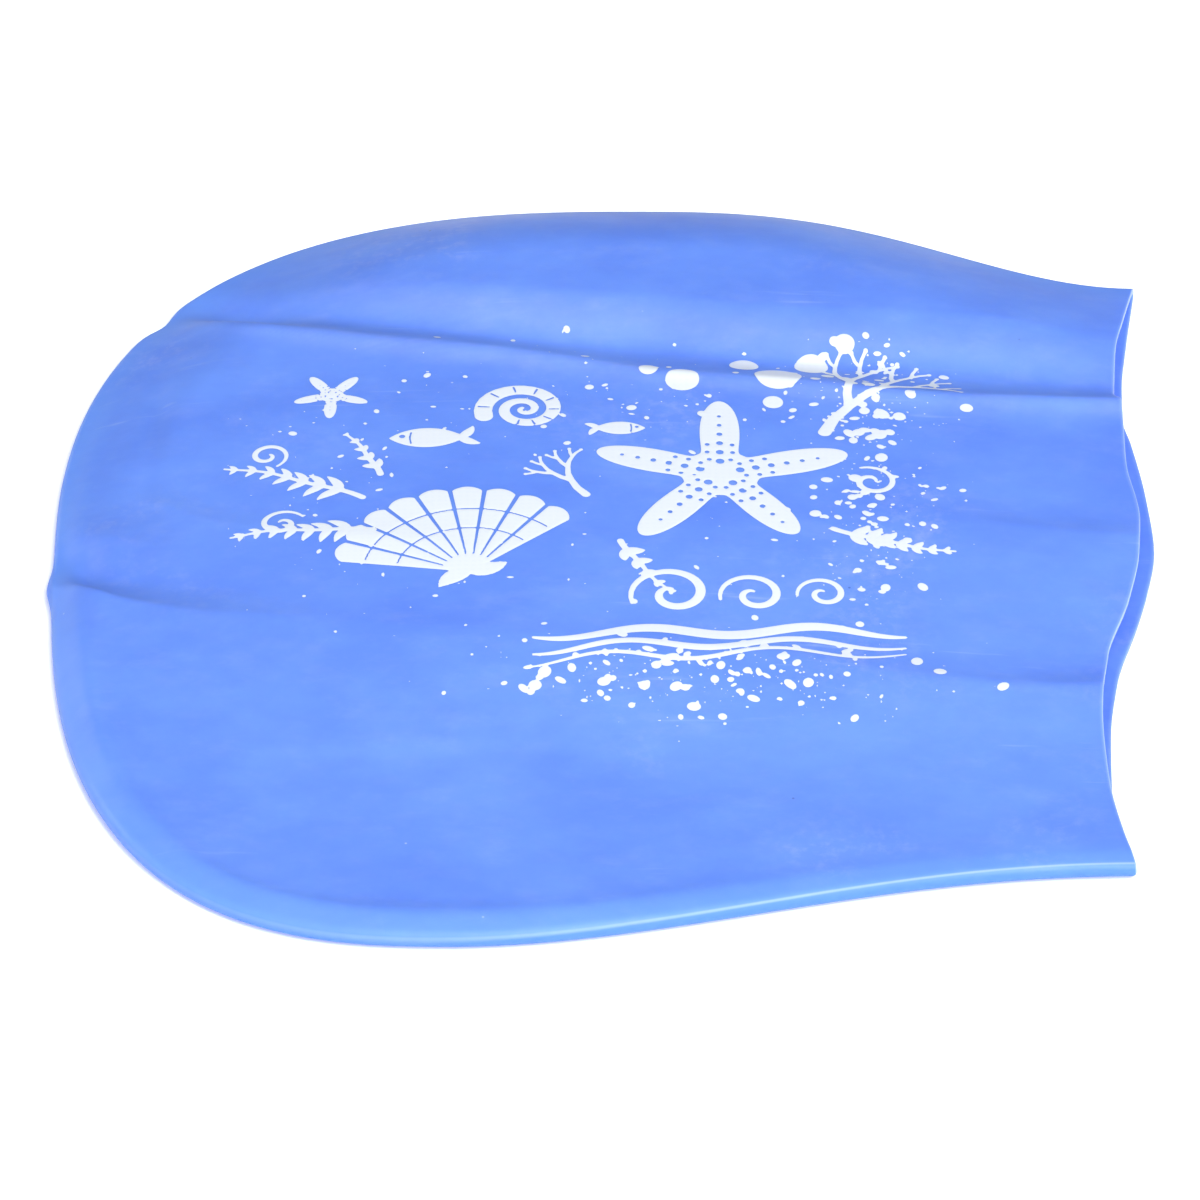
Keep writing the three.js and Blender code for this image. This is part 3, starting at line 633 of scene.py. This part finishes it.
# Powder with painted highlight along the far crest and on the slope behind the gully.
powder_and_highlight_amount = r.add("ShaderNodeAttribute", attribute_name="powder_and_highlight").outputs["Fac"]
powder_and_highlight_amount = r.math("MULTIPLY", powder_and_highlight_amount, r.remap(mottle, 0.30, 0.70, 0.08, 0.15))
body_colour = r.tint(powder_and_highlight_amount, body_colour, (0.60, 0.66, 0.97, 1))
# Painted light: a lighter blue within 9 mm of the fold and on the underside, at half strength at the fold.
body_colour = r.tint(r.remap(from_edge, 1.0, 9.0, 0.50, 0.0), body_colour, (0.138, 0.322, 0.97, 1))
# Painted highlight: a thin pale line on top of the near fold, only on the near side and stronger towards the mouth.
spot = r.add("ShaderNodeSeparateXYZ", {0: r.place}).outputs
line_place = r.remap(spot["X"], -0.030, 0.092, 0.16, 0.90)
off_line = r.math("ABSOLUTE", r.math("SUBTRACT", from_edge, line_place))
painted_fold_highlight = r.remap(off_line, 0.05, 0.22, 1.0, 0.0)
painted_fold_highlight = r.math("MULTIPLY", painted_fold_highlight, r.remap(spot["X"], -0.070, 0.050, 0.08, 0.30))
painted_fold_highlight = r.math("MULTIPLY", painted_fold_highlight, r.remap(spot["Y"], 0.0, -0.03, 0.0, 1.0))
# Painted shade: deep blue within half a millimetre of the fold edge and over the whole underside.
body_colour = r.tint(r.remap(from_edge, 0.5, 0.0, 0.0, 0.75), body_colour, (0.085, 0.225, 0.86, 1))
# The painted highlight line along the near fold goes on last.
body_colour = r.tint(painted_fold_highlight, body_colour, (0.66, 0.78, 0.98, 1))
print("rubber nodes with the wear:", len(r.tree.nodes))

# %% [markdown]
# The surface is satin: a soft, wide highlight, a very fine moulded grain, slow ripples where the sheet
# relaxes, and hair scratches that barely catch the light. Some light enters thin silicone and leaves it
# again close by, which is the shader's subsurface part. It softens the dark of the creases.

# %% Grain, sheen and depth
grain = r.noise(r.place, 1400.0, 2.0)
ripple = r.noise(r.scaled(1.0, 1.6, 1.0, 0.2), 60.0, 2.0)
scratch = r.remap(r.noise(r.scaled(0.18, 3.0, 1.0, 0.9), 240.0, 2.0), 0.70, 0.76, 0.0, 1.0)
relief = r.add("ShaderNodeBump", {"Strength": 0.25, "Distance": 0.0008, "Height": ripple}).outputs[0]
for strength, depth, height in ((0.12, 0.00008, grain), (0.25, 0.00003, scratch)):
    sockets = {"Strength": strength, "Distance": depth, "Height": height, "Normal": relief}
    relief = r.add("ShaderNodeBump", sockets).outputs[0]
rough = r.remap(r.noise(r.place, 45.0, 4.0), 0.3, 0.7, 0.42, 0.54)
r.tree.links.new(body_colour, r.shader.inputs["Base Color"])
r.tree.links.new(rough, r.shader.inputs["Roughness"])
r.tree.links.new(relief, r.shader.inputs["Normal"])
r.shader.inputs["IOR"].default_value = 1.41
r.shader.inputs["Specular IOR Level"].default_value = 0.30
r.shader.inputs["Subsurface Weight"].default_value = 0.32
r.shader.inputs["Subsurface Radius"].default_value = (0.30, 0.55, 1.30)
r.shader.inputs["Subsurface Scale"].default_value = 0.0018
cap.data.materials.append(r.material)
print("rubber nodes:", len(r.tree.nodes))

# %% [markdown]
# The print is white ink pressed through a screen on to the upper side: a seaside pattern of starfish,
# scallop, coiled shell, fish, weed, coral, waves and a scatter of drops. An image would blur close up,
# so each motif is a distance in the plan, below zero inside the ink, and the zero line is cut exactly
# through a fine grid. The film then takes its height from the sheet, over every pleat.

# %% Brushes for the ink
PITCH = 0.32
INK_X, INK_Y, NO_INK = (-70, 72), (-62, 66), 9.0
GX, GY = np.meshgrid(np.arange(*INK_X, PITCH), np.arange(*INK_Y, PITCH), indexing="ij")
ink = np.full(GX.shape, NO_INK)

def window(x0, x1, y0, y1):
    """The part of the grid between these places."""
    def cells(a, b, start):
        return slice(max(0, int((a - start) / PITCH)), max(1, int((b - start) / PITCH) + 2))
    return cells(x0, x1, INK_X[0]), cells(y0, y1, INK_Y[0])

def paint(part, distance, wet=True):
    """Adds a shape to the ink, or takes it away."""
    ink[part] = np.minimum(ink[part], distance) if wet else np.maximum(ink[part], -distance)

def disc(cx, cy, radius, flat=1.0, turn=0.0, wet=True):
    """An ellipse: length of (u, v / flat) less the radius, u and v along its own two axes."""
    part = window(cx - radius - 1, cx + radius + 1, cy - radius - 1, cy + radius + 1)
    u = (GX[part] - cx) * math.cos(turn) + (GY[part] - cy) * math.sin(turn)
    v = (GY[part] - cy) * math.cos(turn) - (GX[part] - cx) * math.sin(turn)
    paint(part, (np.hypot(u, v / flat) - radius) * flat, wet)

def stroke(points, widths, wet=True):
    """A brush line: distance from each straight piece, less a half width that runs evenly along it."""
    for (x0, y0), (x1, y1), a, b in zip(points[:-1], points[1:], widths[:-1], widths[1:]):
        reach = max(a, b) + 1
        part = window(min(x0, x1) - reach, max(x0, x1) + reach, min(y0, y1) - reach, max(y0, y1) + reach)
        gx, gy = GX[part], GY[part]
        t = np.clip(((gx - x0) * (x1 - x0) + (gy - y0) * (y1 - y0)) / ((x1 - x0) ** 2 + (y1 - y0) ** 2), 0, 1)
        paint(part, np.hypot(gx - mix(x0, x1, t), gy - mix(y0, y1, t)) - mix(a, b, t), wet)

def curl(cx, cy, size, turn, way=1, turns=1.3, thick=0.12):
    """Spiral line: the radius shrinks evenly to a seventh while the angle goes round."""
    t = np.linspace(0, 1, 40)
    angle, radius = turn + way * 2 * np.pi * turns * t, size * mix(1.0, 0.15, t)
    stroke(np.stack([cx + radius * np.cos(angle), cy + radius * np.sin(angle)], -1),
           size * thick * np.sin(np.pi * np.clip(0.06 + t * 0.9, 0, 1)) ** 0.7 + 0.12)

def leaf(x, y, heading, length, fat):
    """A slim leaf, thick a third of the way along, drawn towards its heading."""
    t = np.linspace(0, 1, 9)
    bend = heading + 0.35 * (t - 0.3)
    stroke(np.stack([x + length * t * np.cos(bend), y + length * t * np.sin(bend)], -1),
           fat * np.sin(np.pi * np.clip(t, 0.02, 0.98) ** 0.75) ** 0.8 + 0.05)

print("ink grid:", GX.shape)

# %% [markdown]
# The large motifs are whole formulas. A star is a radius that swells five times round a turn, a scallop
# is a fan with a scalloped end, and a coiled shell is one line that widens as it winds. Bare dots and
# ribs are the same shapes taken away from the ink, just as a stencil would block them.

# %% Star, scallop and shell
def sea_star(cx, cy, reach, turn):
    """Five soft arms, radius = reach * (0.30 + 0.70 * ((1 + cos 5a) / 2)^1.9), with rows of bare dots."""
    a = np.arctan2(GY - cy, GX - cx) - turn
    arm = 0.30 + 0.70 * ((1 + np.cos(5 * a)) / 2) ** 1.9 * (1 + 0.05 * np.sin(2 * a + 0.8))
    paint(slice(None), (np.hypot(GX - cx, GY - cy) - reach * arm) * 0.45)
    for k in range(5):
        way = turn + 2 * math.pi * k / 5
        for j in range(6):
            far, dot = reach * (0.16 + 0.125 * j), reach * (0.034 - 0.0035 * j)
            disc(cx + far * math.cos(way), cy + far * math.sin(way), dot, wet=False)
        for side in (-1, 1):
            for j in range(3):
                far, off = reach * (0.20 + 0.10 * j), side * (0.42 - 0.09 * j)
                disc(cx + far * math.cos(way + off), cy + far * math.sin(way + off), reach * 0.020, wet=False)

def scallop(cx, cy, reach, turn, ribs=9):
    """A fan of ribs: radius = reach * (0.90 + 0.07 * |cos of the rib's own angle|), with a bare line
    between neighbours that widens outwards, and two small ears at the hinge."""
    a = (np.arctan2(GY - cy, GX - cx) - turn + np.pi) % (2 * np.pi) - np.pi
    far, spread = np.hypot(GX - cx, GY - cy), 1.12
    rib = 2 * spread / ribs
    edge = reach * (0.84 + 0.08 * np.cos(a) + 0.06 * np.abs(np.cos(np.pi * (a + spread) / rib - np.pi / 2)) ** 0.7)
    paint(slice(None), np.where(np.abs(a) < 2.4, np.maximum(far - edge, far * np.sin(np.abs(a) - spread)), NO_INK))
    for k in range(1, ribs):
        way = turn - spread + k * rib
        start, stop = reach * 0.20, reach * 0.97
        stroke([(cx + start * math.cos(way), cy + start * math.sin(way)),
                (cx + stop * math.cos(way), cy + stop * math.sin(way))], [0.16, 0.42], wet=False)
    for k in (0.50, 0.72):
        t = np.linspace(-spread + 0.06, spread - 0.06, 30)
        arc = np.stack([cx + reach * k * np.cos(turn + t), cy + reach * k * np.sin(turn + t)], -1)
        stroke(arc, [0.16] * 30, wet=False)
    for side in (-1, 1):
        ear = turn + side * 1.75
        leaf(cx + 0.5 * math.cos(turn), cy + 0.5 * math.sin(turn), ear, reach * 0.26, reach * 0.065)

def snail(cx, cy, size, turn):
    """A coiled shell: one spiral brush line that widens outwards, crossed by short bare stripes."""
    t = np.linspace(0, 1, 60)
    angle, radius = turn + 4.4 * np.pi * t, size * (0.06 + 0.94 * t ** 1.3)
    stroke(np.stack([cx + radius * np.cos(angle), cy + radius * np.sin(angle)], -1), size * (0.05 + 0.17 * t ** 1.2))
    for k in np.linspace(0.62, 0.97, 9):
        a, far = turn + 4.4 * np.pi * k, size * (0.06 + 0.94 * k ** 1.3)
        half = size * (0.05 + 0.17 * k ** 1.2) * 0.62
        stroke([(cx + (far - half) * math.cos(a), cy + (far - half) * math.sin(a)),
                (cx + (far + half) * math.cos(a), cy + (far + half) * math.sin(a))], [0.16, 0.22], wet=False)

sea_star(20.5, 13, 23, 0.32)
sea_star(-48, 38, 7.0, 0.9)
scallop(-23, -17, 26, math.radians(106))
snail(-14, 33, 7.4, 2.2)
print("inked share:", round(float((ink < 0).mean()), 3))

# %% [markdown]
# Small motifs fill the gaps. Weed and coral grow step by step from one end, each step turning a little,
# so no two look alike. A fish is where two discs overlap, which gives it pointed ends for nothing.

# %% Weed, coral and fish
def weed(x, y, heading, length, pairs, fat, sway=0.05):
    """A stem that sways as it grows, with pairs of leaves that shorten towards its curled tip."""
    points = [(x, y)]
    for k in range(24):
        heading += sway * math.sin(k * 0.42 + 0.6) + 0.012
        x, y = x + length / 24 * math.cos(heading), y + length / 24 * math.sin(heading)
        points.append((x, y))
        if k >= 3 and (k - 3) % max(1, 20 // pairs) == 0:
            for way in (-1, 1):
                leaf(x, y, heading + way * 0.80, length * 0.17 * (1.2 - k / 26), fat * (1.15 - k / 30))
    stroke(points, list(np.linspace(0.62, 0.24, 25)))

def coral(x, y, heading, length, thick, forks):
    """A branch that splits in two again and again, each part shorter and thinner than the last."""
    bend = heading + 0.12
    middle = (x + 0.5 * length * math.cos(bend), y + 0.5 * length * math.sin(bend))
    end = (x + length * math.cos(heading), y + length * math.sin(heading))
    stroke([(x, y), middle, end], [thick, thick * 0.86, thick * 0.74])
    if forks == 0:
        disc(end[0], end[1], thick * 1.15)
        return
    coral(*end, heading + 0.46, length * 0.74, thick * 0.74, forks - 1)
    coral(*end, heading - 0.38, length * 0.80, thick * 0.74, forks - 1)

def fish(cx, cy, size, way):
    """Body where two discs overlap, a forked tail of two leaves, a bare eye and a bare gill line."""
    part = window(cx - size * 1.2, cx + size * 1.2, cy - size, cy + size)
    low_disc = np.hypot(GX[part] - cx, GY[part] - cy + size * 0.80) - size * 1.2
    high_disc = np.hypot(GX[part] - cx, GY[part] - cy - size * 0.80) - size * 1.2
    paint(part, np.maximum(low_disc, high_disc))
    for turn in (0.75, -0.75):
        leaf(cx + way * size * 0.78, cy, (0 if way > 0 else math.pi) + turn, size * 0.55, size * 0.12)
    disc(cx - way * size * 0.58, cy + size * 0.07, size * 0.075, wet=False)
    gill = np.linspace(-0.9, 0.9, 12)
    line = np.stack([cx - way * size * (0.30 + 0.10 * np.cos(gill)), cy + size * 0.30 * np.sin(gill)], -1)
    stroke(line, [0.18] * 12, wet=False)

print("brushes for weed, coral and fish are ready")

# %% [markdown]
# The layout is a list of places, sizes and turns. The star and the scallop lead, weed and curls point
# away from them, and three wave lines close the picture below.

# %% Lay out the small motifs
for sprig in ((-40, -4, math.radians(165), 25, 6, 0.8), (-42, 6, math.radians(140), 27, 6, 0.8),
              (-39, 13, math.radians(100), 14, 4, 0.65), (40, -3, math.radians(-30), 22, 6, 0.9),
              (3, -8, math.radians(-75), 17, 4, 0.9)):
    weed(*sprig)
coral(39, 27, math.radians(62), 9.5, 1.2, 4)
coral(-3, 6, math.radians(120), 5.2, 0.8, 3)
fish(-31, 24, 7.5, 1)
fish(3, 27, 5.0, -1)
for cx, cy, size, turn, way in ((12, -23, 7.5, 3.5, -1), (26, -23, 6.0, 3.4, -1), (38, -22, 4.6, 3.3, -1),
                                (-56, -1, 4.2, 0.5, 1), (-59, 20, 3.8, 5.2, 1), (47, 12, 4.6, 2.0, -1)):
    curl(cx, cy, size, turn, way, thick=0.10)
wave_x = np.linspace(-12, 52, 70)
for k, (drop, thick) in enumerate(((0.0, 1.15), (-3.6, 0.75), (-6.4, 0.40))):
    wave_y = -34.5 + 0.06 * wave_x + 1.3 * np.sin(wave_x / 4.6 + 0.7 * k) + drop
    stroke(np.stack([wave_x, wave_y], -1), thick * np.sin(np.pi * np.clip((wave_x + 13) / 66, 0, 1)) ** 0.6 + 0.12)

print("inked share with the small motifs:", round(float((ink < 0).mean()), 3))

# %% [markdown]
# The drops are a seeded scatter: most are tiny, a few are large, as when ink is flicked from a brush.
# The seed keeps the same scatter on every run. A row of bubbles rises over the waves.

# %% Scatter of drops
chance = np.random.default_rng(20)
for cx, cy, spread_x, spread_y, count, biggest in (
        (47, 38, 7.5, 12, 240, 1.2), (47, 0, 6.5, 15, 220, 0.9), (18, -45, 19, 5, 320, 1.2),
        (-46, 10, 11, 18, 90, 0.6), (4, 38, 24, 10, 160, 0.9), (-6, -8, 34, 22, 120, 0.6)):
    for _ in range(count):
        px, py = cx + spread_x * chance.normal(), cy + spread_y * chance.normal()
        size = 0.20 + biggest * chance.random() ** 5
        turn, flat = chance.random() * math.pi, 0.40 + 0.6 * chance.random()
        if -68 < px < 69 and -60 < py < 63:
            disc(px, py, size, flat, turn)
for px, py, size in ((31, 44, 4.2), (25, 50, 2.6), (37, 51, 3.0), (43, 56, 1.8), (30, 36, 1.8),
                     (14, 42, 3.0), (8, 45, 1.7)):
    disc(px, py, size)
print("ink covers", round(float((ink < 0).sum()) * PITCH ** 2), "square mm")

# %% [markdown]
# Cutting the grid at zero is done for all squares of one kind at once: there are sixteen ways that a
# line can pass a square, and each gives the same few triangles. The film stands up to a tenth of a
# millimetre proud, like real ink, and thins out at its border.

# %% Cut the film out of the grid
CASES = {1: ["0 a d"], 2: ["1 b a"], 3: ["0 1 b", "0 b d"], 4: ["2 c b"], 5: ["0 a d", "2 c b"],
         6: ["1 2 c", "1 c a"], 7: ["0 1 2", "0 2 c", "0 c d"], 8: ["3 d c"], 9: ["0 a c", "0 c 3"],
         10: ["1 b a", "3 d c"], 11: ["0 1 b", "0 b c", "0 c 3"], 12: ["2 3 d", "2 d b"],
         13: ["0 a b", "0 b 2", "0 2 3"], 14: ["1 2 3", "1 3 d", "1 d a"], 15: ["0 1 2", "0 2 3"]}

def cut_film(field):
    """Triangles of the region where field < 0. Corners 0 to 3 go anticlockwise round a square, and a to
    d are the zero points on its four sides, found by even steps between the two corner values."""
    n, m = field.shape
    number = np.arange(n * m).reshape(n, m)
    def crossing(f0, f1, x0, x1, y0, y1):
        t = np.clip(f0 / np.where(np.abs(f0 - f1) < 1e-9, 1e-9, f0 - f1), 0.02, 0.98)
        return np.stack([mix(x0, x1, t), mix(y0, y1, t)], -1).reshape(-1, 2)
    on_x = crossing(field[:-1], field[1:], GX[:-1], GX[1:], GY[:-1], GY[1:])
    on_y = crossing(field[:, :-1], field[:, 1:], GX[:, :-1], GX[:, 1:], GY[:, :-1], GY[:, 1:])
    x_number = n * m + np.arange((n - 1) * m).reshape(n - 1, m)
    y_number = n * m + (n - 1) * m + np.arange(n * (m - 1)).reshape(n, m - 1)
    names = {"0": number[:-1, :-1], "1": number[1:, :-1], "2": number[1:, 1:], "3": number[:-1, 1:],
             "a": x_number[:, :-1], "b": y_number[1:], "c": x_number[:, 1:], "d": y_number[:-1]}
    wet = field < 0
    kind = wet[:-1, :-1] * 1 + wet[1:, :-1] * 2 + wet[1:, 1:] * 4 + wet[:-1, 1:] * 8
    tris = [np.stack([names[c][kind == k] for c in tri.split()], -1) for k, group in CASES.items() for tri in group]
    plan = np.concatenate([np.stack([GX, GY], -1).reshape(-1, 2), on_x, on_y])
    depth = np.concatenate([-field.ravel(), np.zeros(len(on_x) + len(on_y))])
    used, corners = np.unique(np.concatenate(tris), return_inverse=True)
    return plan[used], depth[used], corners.reshape(-1, 3)

plan, depth, film_tris = cut_film(ink)
x, y = plan.T
INK_LIFT, INK_BORDER = 0.05, 0.4
film_z = upper_height(x, y) + INK_LIFT + INK_LIFT * np.clip(depth / INK_BORDER, 0, 1)
film = lay_mesh("white_print", np.stack([x, y, film_z], -1) - shift, np.zeros((0, 4), int), film_tris)
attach(film, "root")
print("white_print triangles:", len(film_tris))

# %% [markdown]
# Screen ink is matter than the rubber, and close up it keeps the weave of the screen: a fine square
# grid of dots, with thin spots where the blue shows faintly through.

# %% White screen ink
i = Nodes("white_screen_ink")
worn = i.remap(i.noise(i.place, 90.0, 6.0, 0.7), 0.60, 0.74, 0.0, 0.22)
bands = [i.add("ShaderNodeTexWave", {"Vector": i.place, "Scale": 260.0}, wave_type="BANDS",
               bands_direction=way).outputs["Fac"] for way in ("X", "Y")]
screen = i.math("MULTIPLY", *bands)
white = i.tint(worn, (0.74, 0.80, 0.88, 1), (0.44, 0.56, 0.90, 1))
white = i.tint(i.math("MULTIPLY", screen, 0.10), white, (0.60, 0.70, 0.92, 1))
i.tree.links.new(white, i.shader.inputs["Base Color"])
i.tree.links.new(i.remap(screen, 0.0, 1.0, 0.55, 0.66), i.shader.inputs["Roughness"])
ink_relief = i.add("ShaderNodeBump", {"Strength": 0.15, "Distance": 0.00004, "Height": screen}).outputs[0]
i.tree.links.new(ink_relief, i.shader.inputs["Normal"])
i.shader.inputs["Specular IOR Level"].default_value = 0.35
film.data.materials.append(i.material)
print("ink nodes:", len(i.tree.nodes))
